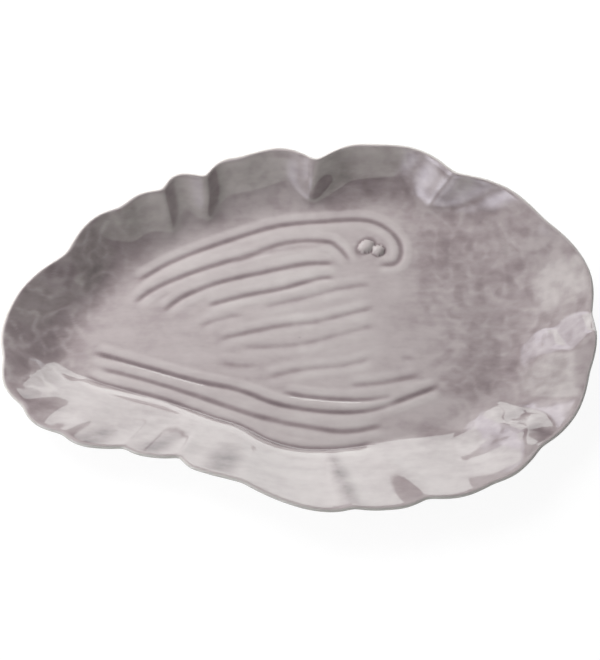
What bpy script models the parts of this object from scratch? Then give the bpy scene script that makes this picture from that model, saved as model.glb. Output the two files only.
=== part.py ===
"""Oyster-shell serving platter: one piece of moulded earthenware, glazed inside and out.

Metres, +Z up, with the long axis along X and the far rim at +Y. The origin is at ground level under the
middle of the platter. Angles are in degrees, anticlockwise from +X about the dish's centre. The lists of
shape points are in millimetres from that centre.
"""

import math

import bmesh
import bpy
from mathutils import Vector, geometry

MM = 0.001

# Heights and thicknesses
RIM_HEIGHT = 0.040
FOOT_HEIGHT = 0.003
FLOOR_THICKNESS = 0.005
WALL_THICKNESS = 0.0045
RIM_THICKNESS = 0.0036

# Foot ring, which runs under the floor's edge
FOOT_INSET = 0.006
FOOT_WIDTH = 0.0045
FOOT_DRAFT = 0.0008

# Rim outline over the crests of the ruffles: angle, radius
RIM = (
    (12, 214.5), (34, 190.5), (61, 164), (72, 153.5), (107, 142), (120, 149), (141, 160), (150, 172.5),
    (175, 208.5), (184, 215), (195, 213), (206, 193), (214, 169.5), (225, 143.5), (243, 129.5),
    (258, 131), (274, 141), (292, 151.5), (313, 175.5), (323, 189.5), (341, 207), (356, 212.5),
)

# Outline of the floor, where the wall begins: angle, radius
FLOOR_EDGE = (
    (12, 136), (29, 129), (45, 127), (57, 122), (72, 109), (90, 97), (113, 99), (134, 109), (154, 125),
    (170, 144), (180, 161), (187, 167), (198, 131), (209, 105), (225, 85), (245, 79), (265, 83),
    (284, 88), (305, 98), (319, 112), (331, 127), (345, 137),
)

# Wall profile from floor to rim: angle, then the inner points of a Bezier curve on a unit run and rise,
# where the first is at (x1, 0) and the second at (x2, z2)
PROFILE = (
    (0, 0.36, 0.66, 0.52), (24, 0.42, 0.69, 0.44), (42, 0.46, 0.71, 0.39), (64, 0.43, 0.66, 0.44),
    (90, 0.42, 0.65, 0.45), (130, 0.42, 0.65, 0.45), (160, 0.40, 0.66, 0.48), (180, 0.34, 0.64, 0.50),
    (196, 0.10, 0.54, 0.49), (225, 0.05, 0.50, 0.49), (270, 0.05, 0.50, 0.49), (310, 0.05, 0.50, 0.49),
    (328, 0.20, 0.58, 0.50), (343, 0.33, 0.65, 0.52),
)

# Folds that pinch the rim inwards: angle at the rim, how far they have turned at the floor, depth,
# half-width in degrees, share of the wall they run down, height of the ridge they raise
FOLDS = (
    (2, 0, 3.4, 10, 0.6, 0.0), (24, -4, 3.4, 12, 1.0, 1.2), (46, 2, 9.4, 15, 1.0, 1.0),
    (84.5, 1, 13.0, 15, 1.0, 1.0), (121, 8, 10.4, 10, 1.0, 1.4), (134, 8, 6.6, 8.5, 1.0, 1.4),
    (146, 6, 3.4, 8, 0.9, 1.2), (162.5, 6, 10.0, 14, 1.0, 1.2), (176, 4, 1.0, 7, 0.9, 1.2),
    (187, 0, 2.2, 6, 0.6, 0.6), (197.5, -6, 3.6, 6, 0.6, 1.0), (206.5, -9, 4.6, 5.5, 0.6, 1.6),
    (217, -10, 5.6, 6, 0.7, 2.0), (230, -9, 5.4, 7, 0.7, 1.8), (252, -6, 1.9, 12, 0.8, 1.6),
    (285, -1, 1.6, 7.5, 1.0, 3.0), (304, -2, 4.8, 9, 0.9, 2.0), (318, 0, 1.4, 6, 0.7, 0.0),
    (331, 0, 4.6, 10, 0.5, 0.0), (349, 0, 1.6, 8, 0.5, 0.0),
)

# How much of a fold's depth it sinks by, on the far wall and on the near one, and how far round, in degrees,
# the near wall's share reaches
FAR_SINK = 0.22
NEAR_SINK = 0.47
NEAR_SPREAD = 140

# Rounding of a fold's middle and of a rib's crest, as shares of their half-widths
FOLD_ROUNDING = 0.15
RIB_ROUNDING = 0.12

# Sharp ribs at the broad end: height, half-width to the left of the line and to its right, length over which
# it rises, then points of its crest
RIBS = (
    (8.0, 22, 34, 34, ((152, -10), (173, -18), (193, -22), (205, -13))),
    (4.8, 19, 40, 30, ((119, -57), (140, -69), (160, -80), (160, -94), (156, -108))),
)

# How far the rim dips below its highest part: angle, depth
DIPS = (
    (20, 1.5), (60, 0), (100, 0), (135, 0), (160, 2), (184, 7), (205, 7.5), (228, 7), (250, 5), (272, 4.5),
    (310, 4), (336, 6), (358, 3.5),
)

# Growth lines pressed into the floor: strength, then points of the groove's middle
GROOVES = (
    (0.95, ((-122, 45), (-93, 63), (-55, 79), (-16, 92), (20, 96), (50, 97), (68, 88), (76, 74), (72, 61),
            (56, 60))),
    (0.95, ((-124, 26), (-107, 40), (-77, 54), (-40, 67), (-9, 78), (19, 79), (30, 73), (40, 60))),
    (0.55, ((-53, 59), (-32, 67), (-6, 73), (21, 75))),
    (0.5, ((36, 79), (42, 70), (49, 61))),
    (1.2, ((41, 81), (45, 77))),
    (0.95, ((-102, 20), (-86, 33), (-59, 45), (-27, 53), (4, 60), (29, 61))),
    (1.0, ((-71, 25), (-40, 34), (-12, 40), (14, 48), (30, 49))),
    (0.45, ((-76, 5), (-65, 13), (-38, 20))),
    (0.5, ((-30, 24), (3, 32), (31, 40), (56, 44))),
    (0.65, ((-62, -2), (-21, 8), (12, 13), (28, 17), (57, 25))),
    (0.4, ((-46, -8), (-3, -6), (28, 2), (59, 11))),
    (0.35, ((-61, -20), (-45, -22), (-27, -23))),
    (0.5, ((-27, -32), (3, -25), (31, -22), (56, -15))),
    (0.35, ((72, -19), (78, -16), (87, -19))),
    (0.6, ((33, -38), (62, -35), (90, -29))),
    (0.95, ((-15, -43), (11, -47), (46, -49), (72, -45))),
    (1.1, ((-152, -11), (-119, -21), (-75, -34), (-44, -41), (-15, -52), (22, -58), (53, -56), (83, -45),
           (103, -37))),
    (0.85, ((-146, -24), (-115, -32), (-79, -44), (-31, -61), (9, -70), (34, -73), (62, -68))),
    (0.9, ((-157, -28), (-142, -36), (-98, -48), (-62, -62), (-43, -68), (-21, -80), (4, -86), (36, -85),
           (54, -81))),
)
GROOVE_DEPTH = 0.0010
GROOVE_WIDTH = 0.0048
BANK_HEIGHT = 0.0005
GROOVE_FADE = 0.011

# Section of a growth line, in groove widths: half-width of the hollow, then place and half-width of a bank
HOLLOW_HALF = 0.7
BANK_PLACE = 1.1
BANK_HALF = 1.0

# Two pearls half sunk in the floor, inside the curl of the first growth line: x, y, half-length,
# half-width, turn. The moat's width is a share of the pearl's half-width.
PEARLS = ((50, 75, 6.4, 5.0, 35), (59, 71.5, 4.6, 4.4, 0))
PEARL_RISE = 0.0032
PEARL_MOAT = 0.0012
MOAT_WIDTH = 0.6

# Fineness of the mesh
AROUND = 180
WALL_STEPS = (0.0, 0.08, 0.20, 0.34, 0.50, 0.66, 0.80, 0.91, 1.0)
OUTSIDE_STEPS = (1.0, 0.78, 0.52, 0.28, 0.12)
LIP_STEPS = 3
TRACE_SPACING = 0.002
GROOVE_SPACING = 0.0065
FILL_SPACING = 0.013
CLOSEST_POINTS = 0.0017
GROOVE_OFFSETS = (0, 0.55, -0.55, 1, -1)
PEARL_RINGS = ((1.0, 14), (0.6, 8))
SHARP_ANGLE = 50

FLOOR_TOP = FOOT_HEIGHT + FLOOR_THICKNESS


def closed_curve(points, unit=1):
    """A smooth closed curve through (angle, value) points, as a function of the angle."""
    count = len(points)

    def value(angle):
        angle = (angle - points[0][0]) % 360 + points[0][0]
        here = max(i for i in range(count) if points[i][0] <= angle)
        near = [points[(here + i) % count] for i in (-1, 0, 1, 2)]
        turns = [(here + i) // count * 360 for i in (-1, 0, 1, 2)]
        (a0, r0), (a1, r1), (a2, r2), (a3, r3) = [(a + turn, r) for (a, r), turn in zip(near, turns)]
        share = (angle - a1) / (a2 - a1)
        leave = (r2 - r0) / (a2 - a0) * (a2 - a1)
        arrive = (r3 - r1) / (a3 - a1) * (a2 - a1)
        return unit * hermite(r1, r2, leave, arrive, share)

    return value


def hermite(start, end, leave, arrive, share):
    bend = share * share * (3 - 2 * share)
    return (
        start * (1 - bend)
        + end * bend
        + leave * share * (1 - share) ** 2
        - arrive * share * share * (1 - share)
    )


def open_curve(points, spacing):
    """Points at an even spacing along a smooth open curve through (x, y) points in millimetres."""
    points = [Vector(point) * MM for point in points]
    points = [2 * points[0] - points[1], *points, 2 * points[-1] - points[-2]]
    line = []
    for p0, p1, p2, p3 in zip(points, points[1:], points[2:], points[3:]):
        count = max(2, round((p2 - p1).length / spacing))
        for i in range(count):
            line.append(hermite(p1, p2, (p2 - p0) / 2, (p3 - p1) / 2, i / count))
    return [*line, points[-2]]


rim_radius = closed_curve(RIM, MM)
floor_radius = closed_curve(FLOOR_EDGE, MM)
rim_dip = closed_curve(DIPS, MM)
first_run, second_run, second_rise = [closed_curve([(row[0], row[i]) for row in PROFILE]) for i in (1, 2, 3)]


def bump(distance):
    """A smooth bell: 1 at the middle, 0 from a distance of 1 on."""
    return math.cos(math.pi / 2 * min(1, abs(distance))) ** 2


def pinch(distance):
    """A sharper bell than the bump, with long soft shoulders: 1 at the middle, 0 from a distance of 1 on."""
    return ((1 - min(1, math.hypot(distance, FOLD_ROUNDING))) / (1 - FOLD_ROUNDING)) ** 2


def tent(distance):
    """Two straight flanks with a slightly rounded crest: 1 at the middle, 0 from a distance of 1 on."""
    return (1 - min(1, math.hypot(distance, RIB_ROUNDING))) / (1 - RIB_ROUNDING)


def smooth_step(low, high, value):
    share = min(1, max(0, (value - low) / (high - low)))
    return share * share * (3 - 2 * share)


def folds_at(angle, step):
    """How far the folds push the wall inwards, and how high they raise it."""
    inwards = raised = 0
    for at, lean, depth, width, reach, ridge in FOLDS:
        middle = at + lean * (1 - step)
        share = pinch(((angle - middle + 180) % 360 - 180) / width)
        run_out = max(0, 1 - (1 - step) / reach)
        inwards += share * depth * MM * smooth_step(0, 0.8, run_out)
        raised += share * ridge * MM * smooth_step(0.1, 1, run_out)
    near = bump(((angle + 270) % 360 - 180) / NEAR_SPREAD)
    return inwards, raised - (FAR_SINK + (NEAR_SINK - FAR_SINK) * near) * inwards


def beside_line(point, line):
    """Distance of a point from a line of points, its place along the line, and whether it is to its left."""
    nearest = (math.inf, 0, False)
    before = 0
    for start, end in zip(line, line[1:]):
        run = end - start
        share = min(1, max(0, (point - start).dot(run) / run.length_squared))
        away = (point - start - share * run).length
        nearest = min(nearest, (away, before + share * run.length, run.cross(point - start) > 0))
        before += run.length
    return nearest


def ribs_at(point):
    """How high the ribs raise the wall at a point in plan."""
    height = 0
    for top, left, right, rise, crest in RIBS:
        away, place, is_left = beside_line(point, [Vector(corner) * MM for corner in crest])
        width = (left if is_left else right) * MM
        height += top * MM * tent(away / width) * smooth_step(0, rise * MM, place)
    return height


def smooth_wall(angle, step):
    """The wall's upper face without folds, at a step from the floor (0) to the rim (1)."""
    back = 1 - step
    start, middle, end = 3 * back * back * step, 3 * back * step * step, step**3
    run = start * first_run(angle) + middle * second_run(angle) + end
    rise = middle * second_rise(angle) + end
    edge = floor_radius(angle)
    radius = edge + (rim_radius(angle) - RIM_THICKNESS - edge) * run
    return on_ray(angle, radius, FLOOR_TOP + (RIM_HEIGHT - rim_dip(angle) - FLOOR_TOP) * rise)


def folded_wall(angle, step):
    inwards, raised = folds_at(angle, step)
    wall = smooth_wall(angle, step)
    return wall + on_ray(angle, -inwards, raised + ribs_at(wall.to_2d()))


def on_ray(angle, radius, height):
    return Vector((radius * math.cos(math.radians(angle)), radius * math.sin(math.radians(angle)), height))


def wall_directions(angle, step):
    """Unit vectors up the smooth wall, and square to it into the dish."""
    before, after = max(0, step - 0.01), min(1, step + 0.01)
    up = (smooth_wall(angle, after) - smooth_wall(angle, before)).normalized()
    along = smooth_wall(angle + 0.5, step) - smooth_wall(angle - 0.5, step)
    return up, up.cross(along).normalized()


traced_grooves = [(strength, open_curve(points, TRACE_SPACING)) for strength, points in GROOVES]


def groove_at(point, strength, line):
    """Height of one groove and its banks above the plain floor."""
    distance, index = min(((point - at).length, i) for i, at in enumerate(line))
    if distance > (BANK_PLACE + BANK_HALF) * GROOVE_WIDTH:
        return 0
    to_end = min(index, len(line) - 1 - index) * TRACE_SPACING
    fade = strength * bump(1 - min(1, to_end / GROOVE_FADE))
    hollow = GROOVE_DEPTH * bump(distance / GROOVE_WIDTH / HOLLOW_HALF)
    bank = BANK_HEIGHT * bump((distance / GROOVE_WIDTH - BANK_PLACE) / BANK_HALF)
    return fade * (bank - hollow)


def pearl_at(point, pearl):
    """Distance from a pearl's centre, where 1 is its outline."""
    x, y, half_length, half_width, turn = pearl
    away = (point - Vector((x, y)) * MM) / MM
    turn = math.radians(turn)
    along = away.x * math.cos(turn) + away.y * math.sin(turn)
    across = away.y * math.cos(turn) - away.x * math.sin(turn)
    return math.hypot(along / half_length, across / half_width)


def relief(point):
    """Height of the pressed pattern above the plain floor at a point in plan."""
    height = sum(groove_at(point, strength, line) for strength, line in traced_grooves)
    nearest = min(pearl_at(point, pearl) for pearl in PEARLS)
    height -= PEARL_MOAT * bump((nearest - 1) / MOAT_WIDTH)
    return max([height, *[pearl_height(point, pearl) for pearl in PEARLS]])


def pearl_height(point, pearl):
    away = pearl_at(point, pearl)
    return -PEARL_MOAT if away >= 1 else (PEARL_RISE + PEARL_MOAT) * math.sqrt(1 - away * away) - PEARL_MOAT


def with_relief(point):
    return point + Vector((0, 0, relief(point.to_2d())))


def lip_ring(angle, share):
    """A point of the half-round lip, from the inside (0) over the top to the outside (1)."""
    up, inside = wall_directions(angle, 1)
    turn = math.pi * share
    middle = folded_wall(angle, 1) - inside * RIM_THICKNESS / 2
    return middle + (inside * math.cos(turn) + up * math.sin(turn)) * RIM_THICKNESS / 2


def outside(angle, step):
    """The underside of the wall, which thins towards the rim."""
    _, inside = wall_directions(angle, step)
    thickness = WALL_THICKNESS + (RIM_THICKNESS - WALL_THICKNESS) * step
    return folded_wall(angle, step) - inside * thickness


def foot_rings():
    """Inset from the floor's edge and height of the foot ring's corners, from outside to inside."""
    return (
        (FOOT_INSET - FOOT_DRAFT, FOOT_HEIGHT),
        (FOOT_INSET, 0),
        (FOOT_INSET + FOOT_WIDTH, 0),
        (FOOT_INSET + FOOT_WIDTH + FOOT_DRAFT, FOOT_HEIGHT),
    )


def platter_rings():
    """Rings of points from the floor's edge up the dish, over the lip and down to the foot."""
    angles = [360 * i / AROUND for i in range(AROUND)]
    rings = [[with_relief(folded_wall(angle, step)) for angle in angles] for step in WALL_STEPS[:-1]]
    rings += [[lip_ring(angle, i / (LIP_STEPS + 1)) for angle in angles] for i in range(LIP_STEPS + 2)]
    rings += [[outside(angle, step) for angle in angles] for step in OUTSIDE_STEPS[1:]]
    for inset, height in foot_rings():
        rings.append([on_ray(angle, floor_radius(angle) - inset, height) for angle in angles])
    return rings


def floor_points():
    """Points of the floor in plan: along the grooves and their banks, on the pearls, and a plain grid."""
    points = [Vector((x, y)) * MM for x, y, _, _, _ in PEARLS]
    for share, count in PEARL_RINGS:
        points += [pearl_point(pearl, share, 360 * i / count) for pearl in PEARLS for i in range(count)]
    lines = [open_curve(groove, GROOVE_SPACING) for _, groove in GROOVES]
    for offset in GROOVE_OFFSETS:
        for line in lines:
            points += beside(line, offset * GROOVE_WIDTH)
    row_height = FILL_SPACING * math.sqrt(3) / 2
    reach = math.ceil(max(radius for _, radius in FLOOR_EDGE) * MM / row_height) + 1
    steps = range(-reach, reach + 1)
    rows = [(FILL_SPACING * (i + j % 2 / 2), row_height * j) for i in steps for j in steps]
    kept = []
    for number, point in enumerate([*points, *[Vector(row) for row in rows]]):
        clear = CLOSEST_POINTS if number < len(points) else FILL_SPACING / 2
        angle = math.degrees(math.atan2(point.y, point.x))
        if point.length < floor_radius(angle) - clear and all((point - other).length > clear for other in kept):
            kept.append(point)
    return kept


def pearl_point(pearl, share, angle):
    x, y, half_length, half_width, turn = pearl
    along = share * half_length * math.cos(math.radians(angle))
    across = share * half_width * math.sin(math.radians(angle))
    turn = math.radians(turn)
    return Vector((
        x + along * math.cos(turn) - across * math.sin(turn),
        y + along * math.sin(turn) + across * math.cos(turn),
    )) * MM


def beside(line, offset):
    """The line's points moved square to it by an offset."""
    moved = []
    for before, at, after in zip([line[0], *line], line, [*line[1:], line[-1]]):
        along = (after - before).normalized()
        moved.append(at + Vector((-along.y, along.x)) * offset)
    return moved


def add_band(mesh, lower, upper):
    """Faces between two rings of vertices."""
    for i in range(len(lower)):
        mesh.faces.new((lower[i - 1], lower[i], upper[i], upper[i - 1]))


def add_floor(mesh, edge):
    """The relief floor inside a ring of vertices."""
    outline = [vertex.co.to_2d() for vertex in edge]
    inner = floor_points()
    found = geometry.delaunay_2d_cdt(outline + inner, [], [list(range(len(outline)))], 1, CLOSEST_POINTS / 100)
    corners, sources = found[0], found[3]
    vertices = []
    for corner, source in zip(corners, sources):
        if source[0] < len(edge):
            vertices.append(edge[source[0]])
        else:
            vertices.append(mesh.verts.new(with_relief(Vector((*corner, FLOOR_TOP)))))
    for face in found[2]:
        mesh.faces.new([vertices[i] for i in face])


def platter_mesh():
    mesh = bmesh.new()
    rings = [[mesh.verts.new(point) for point in ring] for ring in platter_rings()]
    for lower, upper in zip(rings, rings[1:]):
        add_band(mesh, lower, upper)
    add_floor(mesh, rings[0])
    mesh.faces.new(rings[-1])
    bmesh.ops.recalc_face_normals(mesh, faces=mesh.faces)
    centre(mesh)
    data = bpy.data.meshes.new("platter")
    mesh.to_mesh(data)
    mesh.free()
    return data


def centre(mesh):
    """Moves the mesh in plan so that the middle of its outline is over the origin."""
    xs = [vertex.co.x for vertex in mesh.verts]
    ys = [vertex.co.y for vertex in mesh.verts]
    middle = Vector((min(xs) + max(xs), min(ys) + max(ys), 0)) / 2
    bmesh.ops.translate(mesh, verts=mesh.verts, vec=-middle)


def glaze():
    """Glossy mauve-grey glaze."""
    material = bpy.data.materials.new("mauve_grey_glaze")
    material.use_nodes = True
    shader = material.node_tree.nodes["Principled BSDF"]
    shader.inputs["Base Color"].default_value = (0.45, 0.40, 0.41, 1)
    shader.inputs["Roughness"].default_value = 0.12
    shader.inputs["Metallic"].default_value = 0
    return material


def clear_scene():
    for item in list(bpy.data.objects):
        bpy.data.objects.remove(item, do_unlink=True)


def main():
    clear_scene()
    data = platter_mesh()
    data.materials.append(glaze())
    data.shade_smooth()
    data.set_sharp_from_angle(angle=math.radians(SHARP_ANGLE))
    platter = bpy.data.objects.new("platter", data)
    bpy.context.scene.collection.objects.link(platter)


main()
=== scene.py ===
"""Looks of the oyster-shell platter: the fine moulded surface, the pooled glaze, and a pale studio."""

import math

import bpy
import numpy as np
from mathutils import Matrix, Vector, noise


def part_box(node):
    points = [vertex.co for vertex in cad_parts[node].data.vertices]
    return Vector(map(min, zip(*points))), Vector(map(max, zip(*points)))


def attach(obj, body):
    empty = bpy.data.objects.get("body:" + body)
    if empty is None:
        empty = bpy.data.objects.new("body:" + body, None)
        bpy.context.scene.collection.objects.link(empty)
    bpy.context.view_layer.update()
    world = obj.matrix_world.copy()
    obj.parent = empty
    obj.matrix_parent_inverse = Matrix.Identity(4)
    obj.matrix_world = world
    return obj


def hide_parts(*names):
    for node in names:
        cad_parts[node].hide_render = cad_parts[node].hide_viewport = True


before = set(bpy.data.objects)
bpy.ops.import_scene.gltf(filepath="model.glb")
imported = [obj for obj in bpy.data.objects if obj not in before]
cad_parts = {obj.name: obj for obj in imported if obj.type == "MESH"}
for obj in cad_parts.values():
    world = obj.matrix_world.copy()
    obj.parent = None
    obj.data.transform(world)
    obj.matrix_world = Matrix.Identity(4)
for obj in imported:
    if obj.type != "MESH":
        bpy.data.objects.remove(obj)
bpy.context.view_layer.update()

MM = 0.001

# Sizes of the solid, repeated here because this script reads only the frame
RIM_HEIGHT = 0.040
FOOT_HEIGHT = 0.003
FLOOR_THICKNESS = 0.005
WALL_THICKNESS = 0.0045
RIM_THICKNESS = 0.0036
FOOT_INSET = 0.006
FOOT_WIDTH = 0.0045
FOOT_DRAFT = 0.0008
FOOT_CORNER = 0.0007
FLOOR_TOP = FOOT_HEIGHT + FLOOR_THICKNESS

# Rim outline over the crests of the ruffles, and the floor's edge: angle, radius in millimetres
RIM = (
    (12, 214.5), (34, 190.5), (61, 164), (72, 153.5), (107, 142), (120, 149), (141, 160), (150, 172.5),
    (175, 208.5), (184, 215), (195, 213), (206, 193), (214, 169.5), (225, 143.5), (243, 129.5),
    (258, 131), (274, 141), (292, 151.5), (313, 175.5), (323, 189.5), (341, 207), (356, 212.5),
)
FLOOR_EDGE = (
    (12, 136), (29, 129), (45, 127), (57, 122), (72, 109), (90, 97), (113, 99), (134, 109), (154, 125),
    (170, 144), (180, 161), (187, 167), (198, 131), (209, 105), (225, 85), (245, 79), (265, 83),
    (284, 88), (305, 98), (319, 112), (331, 127), (345, 137),
)

# Wall profile from floor to rim: angle, then the inner points of a Bezier curve on a unit run and rise,
# where the first is at (x1, 0) and the second at (x2, z2)
PROFILE = (
    (0, 0.36, 0.66, 0.52), (24, 0.42, 0.69, 0.44), (42, 0.46, 0.71, 0.39), (64, 0.43, 0.66, 0.44),
    (90, 0.42, 0.65, 0.45), (130, 0.42, 0.65, 0.45), (160, 0.40, 0.66, 0.48), (180, 0.34, 0.64, 0.50),
    (196, 0.10, 0.54, 0.49), (225, 0.05, 0.50, 0.49), (270, 0.05, 0.50, 0.49), (310, 0.05, 0.50, 0.49),
    (328, 0.20, 0.58, 0.50), (343, 0.33, 0.65, 0.52),
)

# Folds that pinch the rim: angle at the rim, degrees they have turned by at the floor, depth in millimetres,
# half-width in degrees, share of the wall they run down, height of the ridge in millimetres
FOLDS = (
    (2, 0, 3.4, 10, 0.6, 0.0), (24, -4, 3.4, 12, 1.0, 1.2), (46, 2, 9.4, 15, 1.0, 1.0),
    (84.5, 1, 13.0, 15, 1.0, 1.0), (121, 8, 10.4, 10, 1.0, 1.4), (134, 8, 6.6, 8.5, 1.0, 1.4),
    (146, 6, 3.4, 8, 0.9, 1.2), (162.5, 6, 10.0, 14, 1.0, 1.2), (176, 4, 1.0, 7, 0.9, 1.2),
    (187, 0, 2.2, 6, 0.6, 0.6), (197.5, -6, 3.6, 6, 0.6, 1.0), (206.5, -9, 4.6, 5.5, 0.6, 1.6),
    (217, -10, 5.6, 6, 0.7, 1.4), (230, -9, 5.4, 7, 0.7, 1.0), (252, -6, 1.9, 12, 0.8, 1.0),
    (285, -1, 1.6, 7.5, 1.0, 2.0), (304, -2, 4.8, 9, 0.9, 2.0), (318, 0, 1.4, 6, 0.7, 0.0),
    (331, 0, 4.6, 10, 0.5, 0.0), (349, 0, 1.6, 8, 0.5, 0.0),
)
FOLD_ROUNDING = 0.15

# Where a fold's depth and its ridge start and are full, between its lower end (0) and the rim (1)
FOLD_FADE = (0, 0.8)
RIDGE_FADE = (0.1, 1)

# How far a fold sinks for each millimetre that it goes inwards, on the far side and on the near one, and the
# spread of the near side in degrees
FAR_SINK = 0.22
NEAR_SINK = 0.47
NEAR_SPREAD = 140

# Sharp ribs at the right end, all in millimetres: height, half-width to the left of the line and to its
# right, length over which it rises, then points of its crest
RIBS = (
    (8.0, 22, 34, 34, ((152, -10), (173, -18), (193, -22), (205, -13))),
    (4.8, 19, 40, 30, ((119, -57), (140, -69), (160, -80), (160, -94), (156, -108))),
)
RIB_ROUNDING = 0.12

# How far the rim dips below its highest part: angle, millimetres
DIPS = (
    (20, 1.5), (60, 0), (100, 0), (135, 0), (160, 2), (184, 7), (205, 7.5), (228, 7), (250, 5), (272, 4.5),
    (310, 4), (336, 6), (358, 3.5),
)

# Growth lines pressed into the floor: strength, then points of the groove's middle in millimetres
GROOVES = (
    (0.95, ((-122, 45), (-93, 63), (-55, 79), (-16, 92), (20, 96), (50, 97), (68, 88), (76, 74), (72, 61),
            (56, 60))),
    (0.95, ((-124, 26), (-107, 40), (-77, 54), (-40, 67), (-9, 78), (19, 79), (30, 73), (40, 60))),
    (0.55, ((-53, 59), (-32, 67), (-6, 73), (21, 75))),
    (0.5, ((36, 79), (42, 70), (49, 61))),
    (1.2, ((41, 81), (45, 77))),
    (0.95, ((-102, 20), (-86, 33), (-59, 45), (-27, 53), (4, 60), (29, 61))),
    (1.0, ((-71, 25), (-40, 34), (-12, 40), (14, 48), (30, 49))),
    (0.45, ((-76, 5), (-65, 13), (-38, 20))),
    (0.5, ((-30, 24), (3, 32), (31, 40), (56, 44))),
    (0.65, ((-62, -2), (-21, 8), (12, 13), (28, 17), (57, 25))),
    (0.4, ((-46, -8), (-3, -6), (28, 2), (59, 11))),
    (0.35, ((-61, -20), (-45, -22), (-27, -23))),
    (0.5, ((-27, -32), (3, -25), (31, -22), (56, -15))),
    (0.35, ((72, -19), (78, -16), (87, -19))),
    (0.6, ((33, -38), (62, -35), (90, -29))),
    (0.95, ((-15, -43), (11, -47), (46, -49), (72, -45))),
    (1.1, ((-152, -11), (-119, -21), (-75, -34), (-44, -41), (-15, -52), (22, -58), (53, -56), (83, -45),
           (103, -37))),
    (0.85, ((-146, -24), (-115, -32), (-79, -44), (-31, -61), (9, -70), (34, -73), (62, -68))),
    (0.9, ((-157, -28), (-142, -36), (-98, -48), (-62, -62), (-43, -68), (-21, -80), (4, -86), (36, -85),
           (54, -81))),
)
GROOVE_DEPTH = 0.00055
GROOVE_WIDTH = 0.0048
GROOVE_FADE = 0.011
BANK_HEIGHT = 0.00035

# Section of a groove and its raised banks, in groove widths
HOLLOW_HALF = 0.7
BANK_PLACE = 1.1
BANK_HALF = 1.0

# Pearls: x, y, half-length and half-width in millimetres, turn in degrees
PEARLS = ((50, 75, 6.4, 5.0, 35), (59, 71.5, 4.6, 4.4, 0))
PEARL_RISE = 0.0028
PEARL_MOAT = 0.0006
MOAT_WIDTH = 0.6

# Painted shade on the wall, darker where the strength is positive and paler where it is negative: angle and
# half-width in degrees, middle and half-height in steps up the wall, strength
PAINTED_SHADE_AND_PALE = (
    (68, 26, 0.4, 0.65, 0.9), (120, 26, 0.1, 0.55, 0.3), (158, 24, 0.55, 0.7, 0.65), (184, 16, 0.5, 0.7, 0.4),
    (198, 6, 0.95, 0.35, 0.6), (210.5, 4.5, 0.95, 0.4, 1.5), (222.5, 5, 0.85, 0.45, 1.3),
    (208, 14, 0.6, 0.7, 0.35), (243, 9, 0.85, 0.6, 1.2), (284.5, 4.5, 0.7, 0.8, 1.3),
    (302, 6, 0.85, 0.5, 0.4), (320, 14, 0.5, 0.6, 0.4), (334, 5, 0.85, 0.35, 0.6),
    (350, 12, 0.1, 0.7, 0.35), (28, 16, 0.05, 0.55, 0.3),
    (14, 14, 0.75, 0.4, -0.5), (345, 10, 0.85, 0.3, -0.3), (322, 7, 0.1, 0.35, 0.7), (36, 5, 0.75, 0.35, 0.6),
    (323, 6, 0.62, 0.3, -0.5), (75, 8, 0.75, 0.4, 0.45),
)

# Where the glaze is paler, over the middle of the floor: x, y, radius, strength
PALE_MIDDLE = (0.010, 0.026, 0.100, 0.36)

# Finger dimples in the wet clay, and how far out each zone of them begins and is full
DIMPLE_SIZE = 0.0085
DIMPLE_DEPTH = 0.00012
RIGHT_END = (0.075, 0.12)
LEFT_END = (0.135, 0.175)
FAR_WALL = (0.088, 0.115)
NEAR_WALL = (0.05, 0.075)

# Strength of the finger marks in general, on the plain floor and on the far wall, and of the net at the right
MARKS = 0.6
FLOOR_MARKS = 0.15
FAR_MARKS = 0.7
RIGHT_NET = 0.5

# Unevenness of the hand-pressed wall, with how far out the two sides begin and are full, and how high above
# the floor it begins and is full
SWELL_SIZE = 0.020
SWELL_HEIGHT = 0.0004
FAR_SIDE = (0.03, 0.09)
NEAR_SIDE = (0.05, 0.09)
ABOVE_FLOOR = (0.001, 0.008)

# How much stronger the unevenness is on the far side, and how much of it and of the marks the near one lacks
FAR_SWELL = 0.7
NEAR_CALM = 0.9

# Share of the wall under the lip over which the marks and the unevenness fade out
LIP_FADE = 0.1

# Where the pale lip starts and is full, from its inner edge (0) to its outer one (1), and how it fades there;
# the pale lip is partly thin glaze and partly a painted highlight over its crown and outer half
LIP_START = (0.1, 0.5)
LIP_END = (0.6, 1)
LIP_LOSS = 0.35

# Heights at which the foot's glaze starts to end and is gone
BARE_FOOT = (0.0012, 0.0006)

# How much darker the glaze is in grooves, partly pooled glaze and partly painted shade, and in marks, and the
# least and most of the painted shade, patch by patch
GROOVE_TONE = 0.42
MARK_TONE = 0.22
PAINTED_SHADE_AND_PALE_TONE = (0.2, 0.42)
PATCH_SIZE = 0.010

# Least and most of the pressed height that the tone follows, in groove depths
PRESSED_RANGE = (-1.1, 0.45)

# Tone of the plain glaze, and its clouds: size, how far drawn out along X, strength
PLAIN_TONE = 0.58
CLOUDS = ((0.035, 1, 0.3), (0.010, 5, 0.35), (0.0055, 1.6, 0.25))

# Colours of the glaze from dark to pale, of the lip and of the bare clay under the foot
GLAZE_TONES = (
    (0.0, (116, 103, 106)), (0.35, (156, 144, 145)), (0.6, (182, 172, 172)), (1.0, (204, 197, 195)),
)
LIP_COLOUR = (224, 221, 215)
CLAY_COLOUR = (214, 202, 186)

# Gloss of the glaze, with its fine specks, and how much rougher the bare clay is
GLAZE_ROUGHNESS = (0.03, 0.06)
SPECK_SIZE = 0.004
CLAY_ROUGHNESS = 0.7
GLAZE_IOR = 1.52

# Soft lamps, for the even light only: name, azimuth, elevation, distance, size, radiance, colour
LAMPS = (
    ("key", 132, 50, 1.15, (0.9, 0.8), 6.2, (1, 1, 1)),
    ("side_fill", 195, 35, 1.2, (0.7, 0.7), 2.4, (0.97, 0.97, 1.0)),
)

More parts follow.
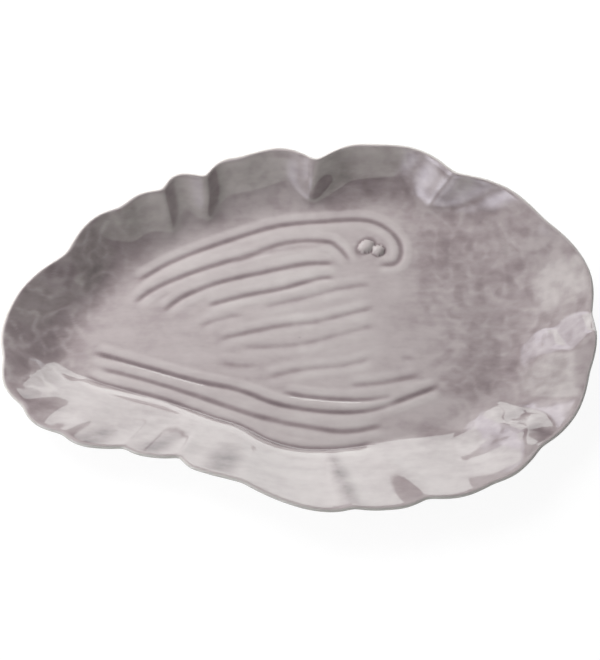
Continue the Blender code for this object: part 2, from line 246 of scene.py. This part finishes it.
# Glowing cards that the glaze mirrors: the same, then the share of the half-width that fades at the edges
CARDS = (
    ("back_white", 78, 15, 1.6, (0.84, 1.03), 4.1, (0.95, 1.0, 0.97), 0.08),
    ("back_low", 102, 11.5, 1.6, (0.52, 0.74), 4.1, (0.95, 1.0, 0.97), 0.12),
    ("right_blue", 52, 8, 1.62, (1.1, 0.6), 3.0, (0.92, 0.96, 1.0), 0.25),
    ("back_blue", 126, 17, 1.62, (1.3, 1.05), 2.6, (0.88, 0.90, 1.0), 0.3),
    ("back_pane", 117, 24, 1.59, (0.34, 0.42), 4.6, (0.90, 0.90, 1.0), 0.15),
    ("left_veil", 165, 40, 1.6, (1.3, 1.2), 2.4, (0.94, 1.0, 0.93), 0.7),
    ("side_window", 223, 24, 1.5, (0.7, 1.1), 7.5, (0.90, 0.89, 1.0), 1.0),
    ("side_panel", 248, 15, 1.49, (1.0, 0.8), 3.6, (0.90, 0.89, 1.0), 1.0),
    ("front_card", 293, 14, 2.0, (3.2, 1.0), 1.5, (0.94, 1.0, 0.88), 0.04),
    ("right_card", 340, 24, 2.0, (1.2, 1.3), 0.8, (0.96, 1.0, 0.90), 0.1),
)

# The room's dim light, and the floor's glow with the share of it that the camera and the glaze see
ROOM_COLOUR = (0.97, 0.98, 1.0, 1)
ROOM_STRENGTH = 0.16
FLOOR_GLOW = 1.1
FLOOR_SHARE = 0.84
FLOOR_COLOUR = (0.85, 0.85, 0.85, 1)
FLOOR_ROUGHNESS = 0.9
FLOOR_SIZE = 6
FLOOR_GAP = 0.0002
WHITE = (1, 1, 1, 1)

# Fineness of the mesh
AROUND = 640
FLOOR_RINGS = 80
WALL_RINGS = 46
LIP_RINGS = 9
OUTSIDE_RINGS = 14

# Camera
CAMERA_AIM = Vector((0.001, 0.0075, 0))
CAMERA_ELEVATION = math.radians(66)
CAMERA_DISTANCE = 1.15
LENS = 85
SENSOR = 36


def bump(distance):
    """A smooth bell: 1 at the middle, 0 from a distance of 1 on."""
    return np.cos(np.pi / 2 * np.minimum(1, np.abs(distance))) ** 2


def pinch(distance):
    """A sharper bell with long soft shoulders: 1 at the middle, 0 from a distance of 1 on."""
    return ((1 - np.minimum(1, np.hypot(distance, FOLD_ROUNDING))) / (1 - FOLD_ROUNDING)) ** 2


def tent(distance):
    """Two straight flanks with a slightly rounded crest: 1 at the middle, 0 from a distance of 1 on."""
    return (1 - np.minimum(1, np.hypot(distance, RIB_ROUNDING))) / (1 - RIB_ROUNDING)


def smooth_step(low, high, value):
    """0 as far as the low value, 1 from the high one on, and smooth between them."""
    share = np.clip((value - low) / (high - low), 0, 1)
    return share * share * (3 - 2 * share)


def hermite(start, end, leave, arrive, share):
    """A smooth curve from start to end that leaves and arrives with the given slopes."""
    bend = share * share * (3 - 2 * share)
    rest = 1 - share
    return start * (1 - bend) + end * bend + leave * share * rest * rest - arrive * share * share * rest


def closed_curve(points, scale=1):
    """A smooth closed curve through (angle, value) points, as a function of an array of angles."""
    angles, radii = np.array(points, float).T
    angles = np.concatenate([angles[-2:] - 360, angles, angles[:3] + 360])
    radii = np.concatenate([radii[-2:], radii, radii[:3]]) * scale

    def radius(angle):
        angle = (angle - angles[1]) % 360 + angles[1]
        here = np.searchsorted(angles, angle, side="right") - 1
        a0, a1, a2, a3 = [angles[here + i] for i in (-1, 0, 1, 2)]
        r0, r1, r2, r3 = [radii[here + i] for i in (-1, 0, 1, 2)]
        leave = (r2 - r0) / (a2 - a0) * (a2 - a1)
        arrive = (r3 - r1) / (a3 - a1) * (a2 - a1)
        return hermite(r1, r2, leave, arrive, (angle - a1) / (a2 - a1))

    return radius


def open_curve(points, count=12):
    """Points along a smooth open curve through (x, y) points in millimetres."""
    points = np.array(points, float) * MM
    points = np.vstack([2 * points[0] - points[1], points, 2 * points[-1] - points[-2]])
    share = np.linspace(0, 1, count, endpoint=False)[:, None]
    pieces = []
    for p0, p1, p2, p3 in zip(points, points[1:], points[2:], points[3:]):
        pieces.append(hermite(p1, p2, (p2 - p0) / 2, (p3 - p1) / 2, share))
    return np.vstack([*pieces, points[-2]])


rim_radius = closed_curve(RIM, MM)
floor_radius = closed_curve(FLOOR_EDGE, MM)
rim_dip = closed_curve(DIPS, MM)
first_run, second_run, second_rise = [
    closed_curve([(row[0], row[i]) for row in PROFILE]) for i in (1, 2, 3)
]


def on_ray(angle, radius, height):
    """Points at angles in degrees, a radius and a height."""
    turn = np.radians(angle)
    return np.stack(np.broadcast_arrays(radius * np.cos(turn), radius * np.sin(turn), height), axis=-1)


def folds_at(angle, step):
    """How far the folds take the wall inwards and up, at a step from the floor (0) to the rim (1)."""
    inwards = raised = 0
    for at, lean, depth, width, reach, ridge in FOLDS:
        middle = at + lean * (1 - step)
        share = pinch(((angle - middle + 180) % 360 - 180) / width)
        run_out = max(0, 1 - (1 - step) / reach)
        depth = depth * smooth_step(*FOLD_FADE, run_out)
        inwards = inwards + share * depth * MM
        raised = raised + share * ridge * MM * smooth_step(*RIDGE_FADE, run_out)
    near = bump(((angle + 270) % 360 - 180) / NEAR_SPREAD)
    return inwards, raised - (FAR_SINK + (NEAR_SINK - FAR_SINK) * near) * inwards


def smooth_wall(angle, step):
    """The wall's upper face without folds, at a step from the floor (0) to the rim (1)."""
    back = 1 - step
    start, middle, end = 3 * back * back * step, 3 * back * step * step, step**3
    run = start * first_run(angle) + middle * second_run(angle) + end
    rise = middle * second_rise(angle) + end
    edge = floor_radius(angle)
    radius = edge + (rim_radius(angle) - RIM_THICKNESS - edge) * run
    return on_ray(angle, radius, FLOOR_TOP + (RIM_HEIGHT - rim_dip(angle) - FLOOR_TOP) * rise)


def folded_wall(angle, step):
    """The wall's upper face with its folds and ribs."""
    inwards, raised = folds_at(angle, step)
    wall = smooth_wall(angle, step)
    return wall + on_ray(angle, -inwards, raised + ribs_at(wall[:, :2]))


def ribs_at(points):
    """Height that the sharp ribs add at (x, y) points."""
    height = np.zeros(len(points))
    for top, left, right, rise, crest in RIBS:
        away, place, side = beside_line(points, np.array(crest) * MM)
        width = np.where(side > 0, left, right) * MM
        height += top * MM * tent(away / width) * smooth_step(0, rise * MM, place)
    return height


def unit(vectors):
    return vectors / np.linalg.norm(vectors, axis=-1, keepdims=True)


def wall_directions(angle, step):
    """Unit vectors up along the wall and square to it, towards the inside of the dish."""
    before, after = max(0, step - 0.01), min(1, step + 0.01)
    up = unit(smooth_wall(angle, after) - smooth_wall(angle, before))
    along = smooth_wall(angle + 0.5, step) - smooth_wall(angle - 0.5, step)
    return up, unit(np.cross(up, along))


def beside_line(points, line):
    """Distance of each point from a line of points, its place along the line, and 1 to the line's left."""
    starts, ends = line[:-1], line[1:]
    runs = ends - starts
    lengths = np.linalg.norm(runs, axis=1)
    travelled = np.concatenate([[0], np.cumsum(lengths)])
    best = np.full(len(points), np.inf)
    place, side = np.zeros(len(points)), np.zeros(len(points))
    for start, run, length, before in zip(starts, runs, lengths, travelled):
        share = np.clip((points - start) @ run / length**2, 0, 1)
        away = np.linalg.norm(points - start - share[:, None] * run, axis=1)
        closer = away < best
        best[closer] = away[closer]
        place[closer] = before + share[closer] * length
        side[closer] = np.sign(run[0] * (points - start)[closer, 1] - run[1] * (points - start)[closer, 0])
    return best, place, side


def line_length(line):
    return np.linalg.norm(np.diff(line, axis=0), axis=1).sum()


def relief(points):
    """Height of the pressed pattern above the plain floor, for (x, y) points."""
    height = np.zeros(len(points))
    margin = (BANK_PLACE + BANK_HALF) * GROOVE_WIDTH
    for strength, groove in GROOVES:
        line = open_curve(groove)
        near = np.all((points > line.min(0) - margin) & (points < line.max(0) + margin), axis=1)
        away, place, side = beside_line(points[near], line)
        to_end = np.minimum(place, line_length(line) - place)
        fade = strength * bump(1 - np.minimum(1, to_end / GROOVE_FADE))
        widths = away / GROOVE_WIDTH
        hollow = GROOVE_DEPTH * bump(widths / HOLLOW_HALF)
        bank = BANK_HEIGHT * bump((widths - BANK_PLACE) / BANK_HALF)
        height[near] += fade * (bank - hollow)
    nearest = np.min([pearl_distance(points, pearl) for pearl in PEARLS], axis=0)
    height -= PEARL_MOAT * bump((nearest - 1) / MOAT_WIDTH)
    for pearl in PEARLS:
        away = np.minimum(1, pearl_distance(points, pearl))
        cap = (PEARL_RISE + PEARL_MOAT) * np.sqrt(1 - away * away) - PEARL_MOAT
        height = np.where(away < 1, np.maximum(height, cap), height)
    return height


def pearl_distance(points, pearl):
    """Distance from a pearl's middle, where 1 is its edge."""
    x, y, half_length, half_width, turn = pearl
    away = points / MM - (x, y)
    turn = math.radians(turn)
    along = away[:, 0] * math.cos(turn) + away[:, 1] * math.sin(turn)
    across = away[:, 1] * math.cos(turn) - away[:, 0] * math.sin(turn)
    return np.hypot(along / half_length, across / half_width)


def noise_at(points, size, seed):
    """Smooth noise about 0 at each point, with features of a size."""
    shift = Vector((seed * 3.7, seed * 1.3, seed * 2.1))
    return np.array([noise.noise(Vector(point) / size + shift) for point in points])


def dimples(points):
    """Shallow finger marks: 0 on the plain clay and 1 in the deepest."""
    marks = noise_at(points, DIMPLE_SIZE, 1) + 0.3 * noise_at(points, DIMPLE_SIZE / 2, 2)
    return smooth_step(-0.2, 0.6, marks)


def hollows(points):
    """A loose net of soft raised veins (0) with hollows between them (1)."""
    ridged = np.abs(noise_at(points, 1.5 * DIMPLE_SIZE, 3)) + 0.4 * np.abs(noise_at(points, DIMPLE_SIZE, 4))
    return smooth_step(0.02, 0.42, ridged)


def texture(points):
    """Finger marks at the right end and on the far wall, and a veined net at both ends: 0 for none."""
    x, y = points[:, 0], points[:, 1]
    right = smooth_step(*RIGHT_END, x + 0.2 * y)
    left = smooth_step(*LEFT_END, -x + 0.35 * y)
    far = smooth_step(*FAR_WALL, y - 0.05 * x)
    near = smooth_step(*NEAR_WALL, -y - 0.25 * np.abs(x))
    marks = MARKS * dimples(points) * np.clip(FLOOR_MARKS + right + FAR_MARKS * far, 0, 1) * (1 - left)
    return (marks + hollows(points) * np.maximum(left, RIGHT_NET * right)) * (1 - NEAR_CALM * near)


def swell(points):
    """Height of the hand-pressed wall's unevenness, which fades out towards the floor."""
    y, z = points[:, 1], points[:, 2]
    share = 1 + FAR_SWELL * smooth_step(*FAR_SIDE, y) - NEAR_CALM * smooth_step(*NEAR_SIDE, -y)
    return SWELL_HEIGHT * noise_at(points, SWELL_SIZE, 5) * share * smooth_step(*ABOVE_FLOOR, z - FLOOR_TOP)


def painted_shade_and_pale_at(angle, step):
    """How much shade is painted at points of the wall: 0 for none, and less than 0 where it is paler."""
    painted_shade_and_pale = 0
    for at, width, middle, reach, strength in PAINTED_SHADE_AND_PALE:
        across = bump(((angle - at + 180) % 360 - 180) / width)
        painted_shade_and_pale = painted_shade_and_pale + strength * across * bump((step - middle) / reach)
    return painted_shade_and_pale


def stitch(faces, outer, inner):
    """Faces between two rings of vertex numbers, where the inner has as many or half as many."""
    count, ratio = len(outer), len(outer) // len(inner)
    for i in range(len(inner)):
        a, b = inner[i], inner[(i + 1) % len(inner)]
        if ratio == 1:
            faces.append((a, outer[i], outer[(i + 1) % count], b))
        else:
            first, second, third = [outer[(2 * i + k) % count] for k in (0, 1, 2)]
            faces += [(a, first, second), (a, second, b), (b, second, third)]


def floor_count(share):
    """How many points a floor ring has, fewer towards the middle."""
    for least, count in ((0.5, AROUND), (0.25, AROUND // 2), (0.12, AROUND // 4), (0.06, AROUND // 8)):
        if share >= least:
            return count
    return AROUND // 16


def ring_angles(count):
    """Even angles round a ring, in degrees."""
    return np.arange(count) * 360 / count


def top_rings():
    """Rings of the dish's inside, from the middle of the floor to the rim's inner edge."""
    rings = []
    for i in range(1, FLOOR_RINGS):
        share = i / FLOOR_RINGS
        angle = ring_angles(floor_count(share))
        rings.append(on_ray(angle, floor_radius(angle) * share, FLOOR_TOP))
    angle = ring_angles(AROUND)
    rings += [folded_wall(angle, i / WALL_RINGS) for i in range(WALL_RINGS)]
    return rings


def under_rings():
    """Rings over the lip, down the outside and over the foot ring, to the middle of the underside."""
    angle = ring_angles(AROUND)
    up, inside = wall_directions(angle, 1)
    middle = folded_wall(angle, 1) - inside * RIM_THICKNESS / 2
    rings = []
    for turn in np.linspace(0, math.pi, LIP_RINGS):
        rings.append(middle + (inside * math.cos(turn) + up * math.sin(turn)) * RIM_THICKNESS / 2)
    for step in np.linspace(1, 0.1, OUTSIDE_RINGS)[1:]:
        thickness = WALL_THICKNESS + (RIM_THICKNESS - WALL_THICKNESS) * step
        rings.append(folded_wall(angle, step) - wall_directions(angle, step)[1] * thickness)
    edge = floor_radius(angle)
    rings += [on_ray(angle, edge - inset, height) for inset, height in foot_section()]
    inner = FOOT_INSET + FOOT_WIDTH + FOOT_DRAFT
    for share, count in ((0.9, AROUND), (0.7, AROUND // 2), (0.5, AROUND // 4), (0.25, AROUND // 8)):
        angle = ring_angles(count)
        rings.append(on_ray(angle, (floor_radius(angle) - inner) * share, FOOT_HEIGHT))
    return rings


def foot_section():
    """Inset and height of points round the foot ring, with small round corners, from outside to inside."""
    corner = FOOT_CORNER
    outer, inner = FOOT_INSET, FOOT_INSET + FOOT_WIDTH
    return (
        (outer - FOOT_DRAFT - corner, FOOT_HEIGHT),
        (outer - FOOT_DRAFT, FOOT_HEIGHT - corner),
        (outer - FOOT_DRAFT / 3, corner),
        (outer + corner / 2, corner / 4),
        (outer + corner, 0),
        (inner - corner, 0),
        (inner - corner / 2, corner / 4),
        (inner + FOOT_DRAFT / 3, corner),
        (inner + FOOT_DRAFT, FOOT_HEIGHT - corner),
        (inner + FOOT_DRAFT + corner, FOOT_HEIGHT),
    )


def platter_mesh():
    """The fine mesh, with its pressed pattern, marks, painted shade and paler patches, lip and bare clay as
    attributes.
    """
    top, under = top_rings(), under_rings()
    rings = [*top, *under]
    firsts = np.cumsum([0, *[len(ring) for ring in rings]])
    numbers = [list(range(firsts[i], firsts[i + 1])) for i in range(len(rings))]
    points = np.vstack(rings)
    inside = np.arange(len(points)) < firsts[len(top)] + AROUND

    pressed, marks, painted_shade_and_pale, swollen = np.zeros((4, len(points)))
    pressed[inside] = relief(points[inside, :2])
    marks[inside] = texture(points[inside])
    swollen[inside] = swell(points[inside])
    gather_painted_shade_and_pale(painted_shade_and_pale, numbers)
    x, y, radius, strength = PALE_MIDDLE
    painted_shade_and_pale[inside] -= strength * bump(np.hypot(points[inside, 0] - x, points[inside, 1] - y) / radius)
    points[:, 2] += pressed - (marks * DIMPLE_DEPTH - swollen) * short_of_lip(len(points), numbers)
    middles = [[0, 0, FLOOR_TOP + relief(np.zeros((1, 2)))[0]], [0, 0, FOOT_HEIGHT]]
    points = np.vstack([points, *middles])

    mesh = bpy.data.meshes.new("platter_glazed")
    mesh.from_pydata(points.tolist(), [], all_faces(numbers, len(points) - 2))
    mesh.validate()
    add_attribute(mesh, "pressed", np.append(np.clip(pressed / GROOVE_DEPTH, *PRESSED_RANGE), [0, 0]))
    add_attribute(mesh, "marks", np.append(marks, [0, 0]))
    add_attribute(mesh, "painted_shade_and_pale", np.append(painted_shade_and_pale, [0, 0]))
    add_attribute(mesh, "lip", lip_share(points, numbers, len(top)))
    add_attribute(mesh, "bare", smooth_step(*BARE_FOOT, points[:, 2]))
    return mesh


def gather_painted_shade_and_pale(painted_shade_and_pale, numbers):
    """Puts the painted shade's values in for the rings of the floor and the wall."""
    for i in range(FLOOR_RINGS - 1):
        angle = ring_angles(len(numbers[i]))
        edge = floor_radius(angle)
        short_of_wall = (1 - (i + 1) / FLOOR_RINGS) * edge / (rim_radius(angle) - edge)
        painted_shade_and_pale[numbers[i]] = painted_shade_and_pale_at(angle, -short_of_wall)
    for i in range(WALL_RINGS):
        painted_shade_and_pale[numbers[FLOOR_RINGS - 1 + i]] = painted_shade_and_pale_at(ring_angles(AROUND), i / WALL_RINGS)


def short_of_lip(count, numbers):
    """1 everywhere but at the top of the wall, where it falls to 0 towards the lip."""
    share = np.ones(count)
    for i in range(WALL_RINGS):
        share[numbers[FLOOR_RINGS - 1 + i]] = smooth_step(0, LIP_FADE, 1 - i / WALL_RINGS)
    return share


def all_faces(numbers, middle):
    """Faces between the rings, and round the middle of the floor and then of the underside."""
    faces = []
    for lower, upper in zip(numbers, numbers[1:]):
        if len(upper) >= len(lower):
            stitch(faces, upper, lower)
        else:
            band = []
            stitch(band, lower, upper)
            faces += [face[::-1] for face in band]
    first, last = numbers[0], numbers[-1]
    faces += [(middle, first[i], first[(i + 1) % len(first)]) for i in range(len(first))]
    faces += [(middle + 1, last[(i + 1) % len(last)], last[i]) for i in range(len(last))]
    return faces


def lip_share(points, numbers, first_lip):
    """1 over the crown of the lip, falling to 0 just inside it and fading down its outer half."""
    share = np.zeros(len(points))
    for i in range(LIP_RINGS):
        turn = i / (LIP_RINGS - 1)
        full = 1 - LIP_LOSS * smooth_step(*LIP_END, turn)
        share[numbers[first_lip + i]] = full * smooth_step(*LIP_START, turn)
    return share


def add_attribute(mesh, name, values):
    mesh.attributes.new(name, "FLOAT", "POINT").data.foreach_set("value", np.asarray(values, np.float32))


def centre_on(mesh, low, high):
    """Moves the mesh in plan so that its outline is centred where the solid's is."""
    points = np.empty(len(mesh.vertices) * 3, np.float32)
    mesh.vertices.foreach_get("co", points)
    points = points.reshape(-1, 3)
    shift = (np.array(low) + np.array(high)) / 2 - (points.min(0) + points.max(0)) / 2
    points[:, :2] += shift[:2]
    mesh.vertices.foreach_set("co", points.ravel())
    mesh.update()


class Nodes:
    """The nodes of a material or the world, with a short way to add and join them."""

    def __init__(self, owner):
        owner.use_nodes = True
        self.tree = owner.node_tree

    def named(self, name):
        return self.tree.nodes[name]

    def add(self, kind, settings=None, **inputs):
        node = self.tree.nodes.new(kind)
        for name, value in (settings or {}).items():
            setattr(node, name, value)
        for name, value in inputs.items():
            self.put(value, node.inputs[name.replace("_", " ")])
        return node

    def put(self, value, socket):
        if isinstance(value, bpy.types.NodeSocket):
            self.tree.links.new(value, socket)
        else:
            socket.default_value = value

    def attribute(self, name):
        return self.add("ShaderNodeAttribute", {"attribute_name": name}).outputs["Fac"]

    def noise(self, size, stretch=1, detail=3):
        """Noise with features of a size, drawn out along X."""
        place = self.add("ShaderNodeTexCoord").outputs["Object"]
        drawn = self.add("ShaderNodeMapping", Vector=place, Scale=(1 / stretch, 1, 1)).outputs["Vector"]
        return self.add("ShaderNodeTexNoise", Vector=drawn, Scale=1 / size, Detail=detail).outputs["Fac"]

    def ramp(self, value, stops):
        node = self.add("ShaderNodeValToRGB", Fac=value)
        ramp = node.color_ramp
        while len(ramp.elements) < len(stops):
            ramp.elements.new(0.5)
        for element, (place, colour) in zip(ramp.elements, stops):
            element.position = place
            element.color = colour
        return node.outputs["Color"]

    def remap(self, value, low, high, to_low, to_high):
        node = self.add("ShaderNodeMapRange")
        for name, number in zip(("From Min", "From Max", "To Min", "To Max"), (low, high, to_low, to_high)):
            node.inputs[name].default_value = number
        self.put(value, node.inputs["Value"])
        return node.outputs["Result"]

    def math(self, operation, first, second):
        node = self.add("ShaderNodeMath", {"operation": operation})
        self.put(first, node.inputs[0])
        self.put(second, node.inputs[1])
        return node.outputs[0]

    def mix(self, share, first, second):
        node = self.add("ShaderNodeMix", {"data_type": "RGBA"}, Factor=share, A=first, B=second)
        return node.outputs["Result"]

    def blend(self, share, first, second):
        """A share of the second shader, laid over the first."""
        node = self.add("ShaderNodeMixShader")
        for socket, value in zip(node.inputs, (share, first.outputs[0], second.outputs[0])):
            self.put(value, socket)
        return node.outputs[0]


def rgb(colour):
    """A colour written as screen values from 0 to 255, as the linear colour that shaders take."""
    shares = [value / 255 for value in colour]
    return tuple(s / 12.92 if s <= 0.04045 else ((s + 0.055) / 1.055) ** 2.4 for s in shares) + (1,)


def glaze_material():
    """Glossy mauve-grey glaze, darker in the grooves and with painted shade, pale on the lip partly as a
    painted highlight, and missing under the foot.
    """
    material = bpy.data.materials.new("mauve_grey_glaze")
    nodes = Nodes(material)
    # Grooves are darker and raised banks and pearls paler: partly pooled and thin glaze, partly painted shade
    # in the grooves
    tone = nodes.math("MULTIPLY", nodes.attribute("pressed"), GROOVE_TONE)
    tone = nodes.math("SUBTRACT", tone, nodes.math("MULTIPLY", nodes.attribute("marks"), MARK_TONE))
    # Painted shade on the wall and the floor's edge, varied patch by patch, and paler where it is negative
    patchy = nodes.remap(nodes.noise(PATCH_SIZE, 2), 0.35, 0.65, *PAINTED_SHADE_AND_PALE_TONE)
    tone = nodes.math("SUBTRACT", tone, nodes.math("MULTIPLY", nodes.attribute("painted_shade_and_pale"), patchy))
    for size, stretch, amount in CLOUDS:
        cloud = nodes.math("SUBTRACT", nodes.noise(size, stretch), 0.5)
        tone = nodes.math("ADD", tone, nodes.math("MULTIPLY", cloud, amount))
    tone = nodes.math("ADD", tone, PLAIN_TONE)
    colour = nodes.ramp(tone, [(place, rgb(shade)) for place, shade in GLAZE_TONES])
    # Pale lip: partly thin glaze at the edge, partly a painted highlight over the crown and outer half
    colour = nodes.mix(nodes.attribute("lip"), colour, rgb(LIP_COLOUR))
    colour = nodes.mix(nodes.attribute("bare"), colour, rgb(CLAY_COLOUR))
    speck = nodes.remap(nodes.noise(SPECK_SIZE), 0.3, 0.7, *GLAZE_ROUGHNESS)
    bare = nodes.remap(nodes.attribute("bare"), 0, 1, 0, CLAY_ROUGHNESS)
    shader = nodes.named("Principled BSDF")
    nodes.put(colour, shader.inputs["Base Color"])
    nodes.put(nodes.math("ADD", speck, bare), shader.inputs["Roughness"])
    nodes.put(GLAZE_IOR, shader.inputs["IOR"])
    return material


def floor_material():
    """Pale floor that the camera and the glaze see as white, with a faint shadow."""
    material = bpy.data.materials.new("pale_floor")
    nodes = Nodes(material)
    shader = nodes.named("Principled BSDF")
    nodes.put(FLOOR_COLOUR, shader.inputs["Base Color"])
    nodes.put(FLOOR_ROUGHNESS, shader.inputs["Roughness"])
    glow = nodes.add("ShaderNodeEmission", Color=WHITE, Strength=FLOOR_GLOW)
    path = nodes.add("ShaderNodeLightPath")
    seen = nodes.math("MAXIMUM", path.outputs["Is Camera Ray"], path.outputs["Is Glossy Ray"])
    share = nodes.math("MULTIPLY", seen, FLOOR_SHARE)
    nodes.put(nodes.blend(share, shader, glow), nodes.named("Material Output").inputs["Surface"])
    return material


def card_material(name, radiance, colour, edge):
    """A glow that fades to clear over a share of the card's half-width at its edges."""
    material = bpy.data.materials.new(name)
    nodes = Nodes(material)
    place = nodes.add("ShaderNodeTexCoord").outputs["Object"]
    split = nodes.add("ShaderNodeSeparateXYZ", Vector=place)
    share = 1.0
    for axis in ("X", "Y"):
        inside = nodes.math("SUBTRACT", 1.0, nodes.math("ABSOLUTE", split.outputs[axis], 0.0))
        fade = nodes.remap(inside, 0.0, edge, 0.0, 1.0)
        fade.node.interpolation_type = "SMOOTHSTEP"
        share = nodes.math("MULTIPLY", share, fade)
    clear = nodes.add("ShaderNodeBsdfTransparent")
    glow = nodes.add("ShaderNodeEmission", Color=(*colour, 1), Strength=radiance)
    nodes.put(nodes.blend(share, clear, glow), nodes.named("Material Output").inputs["Surface"])
    return material


def add_floor():
    bpy.ops.mesh.primitive_plane_add(size=FLOOR_SIZE, location=(0, 0, -FLOOR_GAP))
    floor = bpy.context.object
    floor.name = "studio_floor"
    floor.data.materials.append(floor_material())


def add_platter():
    """The glazed platter, in place of the solid."""
    mesh = platter_mesh()
    centre_on(mesh, *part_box("platter"))
    mesh.materials.append(glaze_material())
    mesh.shade_smooth()
    platter = bpy.data.objects.new("platter_glazed", mesh)
    bpy.context.scene.collection.objects.link(platter)
    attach(platter, "root")
    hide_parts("platter")


def in_direction(azimuth, elevation):
    """Unit vector from the platter's middle towards an azimuth and elevation in degrees."""
    azimuth, elevation = math.radians(azimuth), math.radians(elevation)
    flat = math.cos(elevation)
    return Vector((flat * math.cos(azimuth), flat * math.sin(azimuth), math.sin(elevation)))


def add_lamp(name, azimuth, elevation, distance, size, radiance, colour):
    """A soft lamp turned towards the platter, which the glaze doesn't mirror."""
    away = in_direction(azimuth, elevation)
    lamp = bpy.data.lights.new(name, "AREA")
    lamp.shape = "RECTANGLE"
    lamp.size, lamp.size_y = size
    lamp.energy = radiance * math.pi * size[0] * size[1]
    lamp.color = colour
    holder = bpy.data.objects.new(name, lamp)
    holder.location = away * distance
    holder.rotation_euler = away.to_track_quat("Z", "Y").to_euler()
    holder.visible_glossy = False
    bpy.context.scene.collection.objects.link(holder)


def add_card(name, azimuth, elevation, distance, size, radiance, colour, edge):
    """A glowing card turned towards the platter, seen only in the glaze."""
    away = in_direction(azimuth, elevation)
    bpy.ops.mesh.primitive_plane_add(size=2, location=away * distance)
    card = bpy.context.object
    card.name = name
    card.rotation_euler = away.to_track_quat("Z", "Y").to_euler()
    card.scale = (size[0] / 2, size[1] / 2, 1)
    card.visible_camera = card.visible_diffuse = card.visible_shadow = False
    card.data.materials.append(card_material(name, radiance, colour, edge))


def add_world():
    """A white backdrop for the camera, and a dim even room for everything else."""
    world = bpy.data.worlds.new("studio")
    bpy.context.scene.world = world
    nodes = Nodes(world)
    room = nodes.named("Background")
    nodes.put(ROOM_COLOUR, room.inputs["Color"])
    nodes.put(ROOM_STRENGTH, room.inputs["Strength"])
    white = nodes.add("ShaderNodeBackground", Color=WHITE)
    camera_ray = nodes.add("ShaderNodeLightPath").outputs["Is Camera Ray"]
    nodes.put(nodes.blend(camera_ray, room, white), nodes.named("World Output").inputs["Surface"])


def add_camera():
    """A long lens that looks down on the platter from its near side."""
    lens = bpy.data.cameras.new("camera")
    lens.lens = LENS
    lens.sensor_fit = "VERTICAL"
    lens.sensor_height = SENSOR
    camera = bpy.data.objects.new("camera", lens)
    away = Vector((0, -math.cos(CAMERA_ELEVATION), math.sin(CAMERA_ELEVATION)))
    camera.location = CAMERA_AIM + away * CAMERA_DISTANCE
    camera.rotation_euler = (-away).to_track_quat("-Z", "Y").to_euler()
    bpy.context.scene.collection.objects.link(camera)
    bpy.context.scene.camera = camera


add_floor()
add_platter()
for lamp in LAMPS:
    add_lamp(*lamp)
for card in CARDS:
    add_card(*card)
add_world()
add_camera()
bpy.context.scene.view_settings.view_transform = "Standard"
